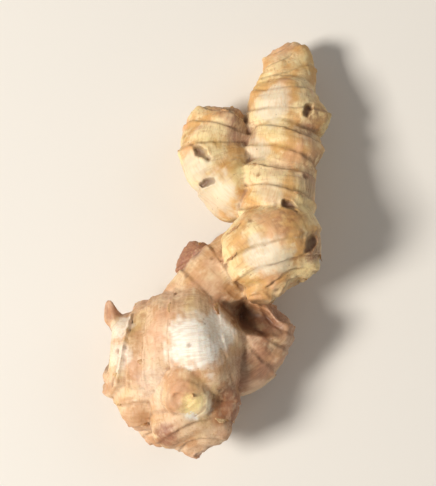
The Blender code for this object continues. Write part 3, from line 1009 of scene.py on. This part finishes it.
# %% All the scales
SCALES = 44
SCALE_SEED = 23
SHORTEST, LONGEST = 5, 20  # steps along the ring
NARROWEST, WIDEST = 0.0005, 0.0019
FLATTEST, CURLIEST = 0.4, 1.2
TORN_OFF, LEFT_ON = 0.55, 1.25  # of the scale's width, at any place along it
SCALE_THICKNESS = 0.00009
CLEAR_OF_TABLE = 0.004
CLEAR_OF_TIP = 0.002
CLEAR_OF_SCAR = 0.05

random = np.random.default_rng(SCALE_SEED)
on_ring = (np.abs(past_ring) < SCALE_STEP / 2) & (in_scar < CLEAR_OF_SCAR)
on_ring &= (points[:, 2] > CLEAR_OF_TABLE) & (from_tip > CLEAR_OF_TIP) & (wide_hollow < WALK_HOLLOW)
starts = random.choice(np.flatnonzero(on_ring), SCALES, replace=False)
edit = bmesh.new()
for start in starts:
    steps = int(random.integers(SHORTEST, LONGEST))
    broad = random.uniform(NARROWEST, WIDEST)
    curl = random.uniform(FLATTEST, CURLIEST)
    places, spots = ring_walk(start, steps)
    torn = random.uniform(TORN_OFF, LEFT_ON, len(places))
    if len(places) < SHORTEST:
        continue
    ends = np.sin(math.pi * (np.arange(len(places)) + 0.5) / len(places)) ** 0.5
    add_scale(edit, places, spots, broad * ends * torn, curl)
scale_mesh = bpy.data.meshes.new("papery_scales")
edit.to_mesh(scale_mesh)
edit.free()
scales = object_from("papery_scales", scale_mesh)
solidify = scales.modifiers.new("thickness", "SOLIDIFY")
solidify.thickness = SCALE_THICKNESS
solidify.offset = 0.0
apply_modifiers(scales)
write_points(scales, np.clip(read_points(scales), box_low, box_high))
scales.data.shade_smooth()
print(SCALES, "scales tried,", len(scales.data.polygons), "faces")

# %% [markdown]
# ## Handing the measures to the paint
#
# A shader can read named values from the mesh. Distances are stored in millimetres, because a shader's
# noise works well with numbers near one. Nothing here depends on the camera, so the paint stays put when
# the view changes.

# %% Store the measures on the mesh
YOUNG_TIP = 0.005  # the youngest skin reaches about this far from a lobe's tip


def store(name, values):
    """Keeps one value, or three, for each point of the root's mesh."""
    vector = values.ndim == 2
    attribute = root.data.attributes.new(name, "FLOAT_VECTOR" if vector else "FLOAT", "POINT")
    attribute.data.foreach_set("vector" if vector else "value", values.astype(np.float32).ravel())


measures = {
    "growth": own_growth * 1000,
    "ring_line": ring_line,
    "youth": np.exp(-from_tip / YOUNG_TIP),
    "age": age,
    "rubbed_and_highlit": rubbed_and_highlit,
    "stained_and_shaded": stained_and_shaded,
    "bruised_and_shaded": bruised_and_shaded,
    "scar": in_scar,
    "torn_face": torn_face,
    "small_scar": small_scar,
    "fine_hollow": fine_hollow * 1000,
    "wide_hollow": wide_hollow * 1000,
}
for name, values in measures.items():
    store(name, values)
root.data.shade_smooth()
print("stored:", ", ".join(measures))

# %% [markdown]
# ## Building a material with nodes
#
# A material is a small network of nodes. A few helpers keep it readable: one makes any node and plugs in
# its inputs, one does arithmetic, and one mixes two colours. Colours are given as they look on a screen,
# from 0 to 255, and turned into the linear numbers that a shader works with.

# %% Node helpers
def start_material(obj, name):
    """A new material on the object. The helpers build in it until the next material is started."""
    global tree
    material = bpy.data.materials.new(name)
    material.use_nodes = True
    obj.data.materials.clear()
    obj.data.materials.append(material)
    tree = material.node_tree
    return tree.nodes["Principled BSDF"]


def plug(socket, value):
    if isinstance(value, bpy.types.NodeSocket):
        tree.links.new(value, socket)
    else:
        socket.default_value = value


def node(kind, settings=None, **inputs):
    made = tree.nodes.new("ShaderNode" + kind)
    for name, value in (settings or {}).items():
        setattr(made, name, value)
    for name, value in inputs.items():
        plug(made.inputs[name.replace("_", " ")], value)
    return made


def maths(operation, a, b=0.0):
    made = node("Math", {"operation": operation})
    plug(made.inputs[0], a)
    plug(made.inputs[1], b)
    return made.outputs[0]


def plus(base, more, factor):
    """base + more * factor"""
    return maths("ADD", base, maths("MULTIPLY", more, factor))


def mixed(share, a, b):
    """a where share is 0, b where it is 1, and a mixture between."""
    made = node("Mix", {"data_type": "RGBA"})
    for socket, value in zip((made.inputs[0], made.inputs[6], made.inputs[7]), (share, a, b)):
        plug(socket, value)
    return made.outputs[2]


def layered(paint, mask, strength, over):
    """The paint with another colour over it where the mask is, as strongly as strength says."""
    return mixed(maths("MULTIPLY", mask, strength), paint, over)


def ramp(value, low, high):
    """0 where value is below low, 1 above high, and smooth between."""
    made = node("MapRange", {"interpolation_type": "SMOOTHSTEP"}, Value=value)
    plug(made.inputs["From Min"], low)
    plug(made.inputs["From Max"], high)
    return made.outputs[0]


def colour(*screen):
    """A screen colour as the linear colour that a shader needs."""
    return (*(((part / 255 + 0.055) / 1.055) ** 2.4 for part in screen), 1.0)


print("tan skin in linear numbers:", [round(part, 3) for part in colour(214, 172, 130)])

# %% [markdown]
# ## Reading the measures
#
# Each stored measure is read by an Attribute node. Two kinds of noise do most of the work. One lives in
# ordinary space, for blotches. One lives in the growth's space, squeezed across and stretched along it,
# so that it makes fine fibres that follow each lobe.

# %% Measures and noises in the material
def measure(name, output="Fac"):
    return node("Attribute", {"attribute_name": name}).outputs[output]


def noise_texture(vector, scale, detail=3.0, roughness=0.55):
    return node("TexNoise", Vector=vector, Scale=scale, Detail=detail, Roughness=roughness).outputs[0]


def scaled(vector, factors):
    made = node("VectorMath", {"operation": "MULTIPLY"})
    plug(made.inputs[0], vector)
    plug(made.inputs[1], factors)
    return made.outputs[0]


shader = start_material(root, "ginger_skin")
space = node("TexCoord").outputs["Object"]
mirrored_space = scaled(space, (-1.0, -1.0, -1.0))  # so that two noises don't have the same shapes
growth_space = measure("growth", "Vector")
fibre_space = scaled(growth_space, (1.0, 1.0, 0.12))
hoop_space = scaled(growth_space, (0.25, 0.25, 1.6))

blotches = noise_texture(space, 130.0, detail=4.0)
mottle = noise_texture(space, 520.0, detail=4.0)
fibres = noise_texture(fibre_space, 1.9, detail=3.0)
hoops = noise_texture(hoop_space, 0.9, detail=2.0)
drift = noise_texture(mirrored_space, 95.0, detail=2.0)
print("nodes so far:", len(tree.nodes))

# %% [markdown]
# ## The colour of the skin
#
# The old part is a pinkish tan, and the young chain a warmer cream and gold, so two pairs of colours are
# mixed by the skin's age. Blotches drift between the darker and the lighter of a pair, fibres streak it,
# hoops darken it in bands, and a slow drift tints it rosy here and yellow there.

# %% The ground colours
OLD_TAN = colour(206, 160, 116)
OLD_PALE = colour(232, 200, 162)
YOUNG_GOLD = colour(216, 168, 104)
YOUNG_CREAM = colour(246, 222, 170)
FIBRE_BROWN = colour(186, 132, 82)
HOOP_BROWN = colour(176, 122, 74)
PALE_MOTTLE = colour(244, 224, 186)
ROSY = colour(230, 178, 148)
YELLOWISH = colour(228, 204, 132)

age_share = measure("age")
darker = mixed(age_share, YOUNG_GOLD, OLD_TAN)
lighter = mixed(age_share, YOUNG_CREAM, OLD_PALE)
paint = mixed(ramp(blotches, 0.38, 0.60), darker, lighter)
paint = layered(paint, ramp(fibres, 0.50, 0.70), 0.40, FIBRE_BROWN)
paint = layered(paint, ramp(hoops, 0.54, 0.72), 0.35, HOOP_BROWN)
paint = layered(paint, ramp(mottle, 0.56, 0.72), 0.40, PALE_MOTTLE)
paint = layered(paint, ramp(drift, 0.52, 0.66), 0.35, ROSY)
paint = layered(paint, ramp(drift, 0.48, 0.34), 0.30, YELLOWISH)
print("ground colours done:", len(tree.nodes), "nodes")

# %% [markdown]
# Over the ground go the things with a place. First come the pinkish young tips, the stains and bruises,
# and the rubbed patches, white on the old part and yellow near a tip. Some stains and bruises are painted
# shade, and some rubbed patches are painted highlights. Each layer is one mix, with a share that a stored
# measure and a noise give together.

# %% Tips, stains, bruises and rubbed flesh, with painted shade and highlights
OLD_FLESH_AND_HIGHLIGHT = colour(255, 249, 236)
YOUNG_FLESH_AND_HIGHLIGHT = colour(228, 214, 188)
BUTTER = colour(252, 226, 160)
STAIN_AND_SHADE = colour(170, 108, 60)
BRUISE_AND_SHADE = colour(144, 92, 76)
PINK = colour(220, 154, 122)

paint = layered(paint, measure("youth"), 0.35, PINK)
# Orange-brown over the stains, and painted shade at the shaded places in the stained table.
stain_and_shade_share = maths("MULTIPLY", measure("stained_and_shaded"), ramp(mottle, 0.36, 0.56))
paint = layered(paint, stain_and_shade_share, 0.75, STAIN_AND_SHADE)
# Pinkish brown over the bruises, and painted shade on the sides away from the light.
bruise_and_shade_fibres = plus(0.60, ramp(fibres, 0.35, 0.60), 0.40)
bruise_and_shade_share = maths("MULTIPLY", measure("bruised_and_shaded"), bruise_and_shade_fibres)
paint = layered(paint, bruise_and_shade_share, 0.75, BRUISE_AND_SHADE)
# Pale flesh over the rubbed patches, and painted highlights where the patches stand for light falling on
# the lobes.
bare_and_highlit_fibres = plus(0.72, ramp(fibres, 0.62, 0.40), 0.27)
flesh_and_highlight = mixed(age_share, YOUNG_FLESH_AND_HIGHLIGHT, OLD_FLESH_AND_HIGHLIGHT)
flesh_and_highlight = mixed(ramp(measure("youth"), 0.05, 0.45), flesh_and_highlight, BUTTER)
paint = layered(paint, measure("rubbed_and_highlit"), bare_and_highlit_fibres, flesh_and_highlight)
print("patches done:", len(tree.nodes), "nodes")

# %% [markdown]
# Then come brown lines under the rings, painted shade with some soil in the creases and hollows, and the
# dark scars. The torn old end is a dry face, with the ends of its strands as brown dots. A Voronoi texture
# makes dots: it gives the distance to the nearest of many scattered points. Small brown specks all over
# are made the same way.

# %% Rings, creases, scars and specks
LINE = colour(140, 92, 58)
DIRT_AND_SHADE = colour(112, 72, 48)
DARK = colour(90, 66, 56)
TORN = colour(204, 168, 126)


def dots(scale):
    """The distance to the nearest of many points that are scattered in space."""
    return node("TexVoronoi", Vector=space, Scale=scale).outputs["Distance"]


ring_share = maths("MULTIPLY", measure("ring_line"), ramp(blotches, 0.36, 0.60))
paint = layered(paint, ring_share, 0.50, LINE)
# Painted shade, with some soil: darker brown in the wide hollows between lobes.
crease = plus(measure("wide_hollow"), fibres, 0.6)
paint = layered(paint, ramp(crease, 0.60, 1.50), 0.62, DIRT_AND_SHADE)
# Painted shade: line brown in the narrow creases.
paint = layered(paint, ramp(measure("fine_hollow"), 0.05, 0.18), 0.36, LINE)
scar = plus(measure("scar"), mottle, 0.4)
paint = layered(paint, ramp(scar, 0.28, 0.60), 0.50, DIRT_AND_SHADE)
paint = layered(paint, ramp(scar, 0.60, 1.10), 0.32, DARK)
paint = layered(paint, measure("small_scar"), 0.60, LINE)

torn = plus(measure("torn_face"), fibres, 0.3)
torn_paint = mixed(ramp(dots(1100.0), 0.12, 0.42), LINE, TORN)
paint = layered(paint, ramp(torn, 0.30, 0.50), 0.75, DIRT_AND_SHADE)
paint = layered(paint, ramp(torn, 0.50, 0.72), 0.90, torn_paint)

specks = maths("SUBTRACT", 1.0, ramp(dots(420.0), 0.06, 0.16))
specks = maths("MULTIPLY", specks, ramp(mottle, 0.48, 0.60))
paint = layered(paint, specks, 0.55, LINE)
plug(shader.inputs["Base Color"], paint)
print("colour layers done:", len(tree.nodes), "nodes")

# %% [markdown]
# ## Gloss, softness and fine bumps
#
# The papery skin is satin, and rubbed flesh is a little moister and smoother. Light goes a short way into
# both, which subsurface scattering gives. Bump adds what is finer than the mesh: fibres and pores.

# %% Finish of the skin
def soften(shader, weight, depth):
    """Lets light a short way into the surface, and red light the furthest."""
    shader.inputs["Subsurface Weight"].default_value = weight
    shader.inputs["Subsurface Radius"].default_value = (1.0, 0.55, 0.28)
    shader.inputs["Subsurface Scale"].default_value = depth


gloss = plus(0.38, fibres, 0.24)
plug(shader.inputs["Roughness"], plus(gloss, measure("rubbed_and_highlit"), -0.08))
shader.inputs["Specular IOR Level"].default_value = 0.5
soften(shader, 0.12, 0.0018)

pores = noise_texture(space, 2600.0, detail=2.0)
fine_fibres = noise_texture(fibre_space, 4.5, detail=4.0, roughness=0.65)
height = plus(maths("MULTIPLY", fine_fibres, 0.7), pores, 0.3)
bump = node("Bump", Strength=0.5, Distance=0.00035, Height=height)
plug(shader.inputs["Normal"], bump.outputs[0])
print("the skin's material has", len(tree.nodes), "nodes")

# %% [markdown]
# ## The paint of the scales
#
# A scale is dry and thin as paper, and straw-coloured with fine brown veins. It has no growth of its own,
# so plain noise in space is enough at its size.

# %% Finish of the scales
STRAW = colour(226, 190, 142)
DRY_BROWN = colour(186, 136, 88)
VEIN = colour(140, 96, 62)

shader = start_material(scales, "dry_scale")
scale_space = node("TexCoord").outputs["Object"]
veins = noise_texture(scale_space, 1500.0, detail=4.0)
bands = noise_texture(scale_space, 260.0)
paint = mixed(ramp(bands, 0.38, 0.62), STRAW, DRY_BROWN)
paint = layered(paint, ramp(veins, 0.50, 0.66), 0.6, VEIN)
plug(shader.inputs["Base Color"], paint)
plug(shader.inputs["Roughness"], plus(0.42, veins, 0.3))
soften(shader, 0.15, 0.0008)
bump = node("Bump", Strength=0.4, Distance=0.0002, Height=veins)
plug(shader.inputs["Normal"], bump.outputs[0])
print("the scales' material has", len(tree.nodes), "nodes")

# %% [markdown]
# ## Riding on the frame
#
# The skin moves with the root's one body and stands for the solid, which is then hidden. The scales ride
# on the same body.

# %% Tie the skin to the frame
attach(root, "root")
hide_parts("ginger_rhizome")
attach(scales, "root")

# %% [markdown]
# ## Table, light and camera
#
# The root lies on a plain pale table. A soft light from the left models its lumps, and stands more than
# a metre off, so that the table is lit evenly. A weaker one from the right opens the shadows, and a pale
# surrounding light fills the rest. Blender's usual view softens bright colours as film does. The
# standard view shows them as they were mixed, so it is used.

# %% The table
TABLE_SIZE = 4.0
half = TABLE_SIZE / 2
table_corners = [(-half, -half, 0), (half, -half, 0), (half, half, 0), (-half, half, 0)]
table_mesh = bpy.data.meshes.new("table")
table_mesh.from_pydata(table_corners, [], [(0, 1, 2, 3)])
table = object_from("table", table_mesh)
table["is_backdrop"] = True

shader = start_material(table, "pale_table")
shader.inputs["Base Color"].default_value = colour(236, 233, 227)
shader.inputs["Roughness"].default_value = 0.75
print("table of", TABLE_SIZE, "m")

# %% The lights
LIGHTS = {  # place, size, power in watts and tint
    "key_light": ((-0.90, -0.25, 0.92), 0.36, 18.8, (1.0, 0.95, 0.88)),
    "fill_light": ((1.00, 0.50, 1.00), 1.00, 2.4, (1.0, 0.96, 0.92)),
}
ROOM_TINT = (1.0, 0.95, 0.90, 1.0)
ROOM_STRENGTH = 0.22

middle = (Vector(box_low) + Vector(box_high)) / 2
for name, (place, size, power, tint) in LIGHTS.items():
    light = bpy.data.lights.new(name, "AREA")
    light.size = size
    light.energy = power
    light.color = tint
    lamp = object_from(name, light)
    lamp.location = place
    lamp.rotation_euler = (middle - Vector(place)).to_track_quat("-Z", "Y").to_euler()
world = bpy.data.worlds.new("studio")
bpy.context.scene.world = world
world.use_nodes = True
background = world.node_tree.nodes["Background"]
background.inputs["Color"].default_value = ROOM_TINT
background.inputs["Strength"].default_value = ROOM_STRENGTH
bpy.context.scene.view_settings.view_transform = "Standard"

# %% [markdown]
# The camera looks almost straight down, as one looks at a root that lies on a board. A long lens keeps
# the lobes' proportions. Its distance follows from the root's length, so that the root fills the picture.

# %% The camera
LENS = 110.0
SENSOR = 36.0
ELEVATION = math.radians(82)
FILL = 0.88  # of the picture's height is the root's length

camera_data = bpy.data.cameras.new("camera")
camera_data.lens = LENS
camera_data.sensor_width = SENSOR
camera = object_from("camera", camera_data)
root_length = float(box_high[1] - box_low[1])
distance = (root_length / FILL) / (SENSOR / LENS)
backward = Vector((0, -math.cos(ELEVATION), math.sin(ELEVATION)))
camera.location = middle + backward * distance
camera.rotation_euler = (-backward).to_track_quat("-Z", "Y").to_euler()
bpy.context.scene.camera = camera
print(f"camera {distance:.2f} m from the root")

# %% [markdown]
# ## Last look at the size
#
# The dressed root must be no larger than its solid. Both boxes are written down side by side.

# %% Print both boxes and finish
dressed_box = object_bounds()
for name, (low, high) in (("solid", solid_box), ("dressed", dressed_box)):
    print(name, "box in mm:", [round((b - a) * 1000, 2) for a, b in zip(low, high)])
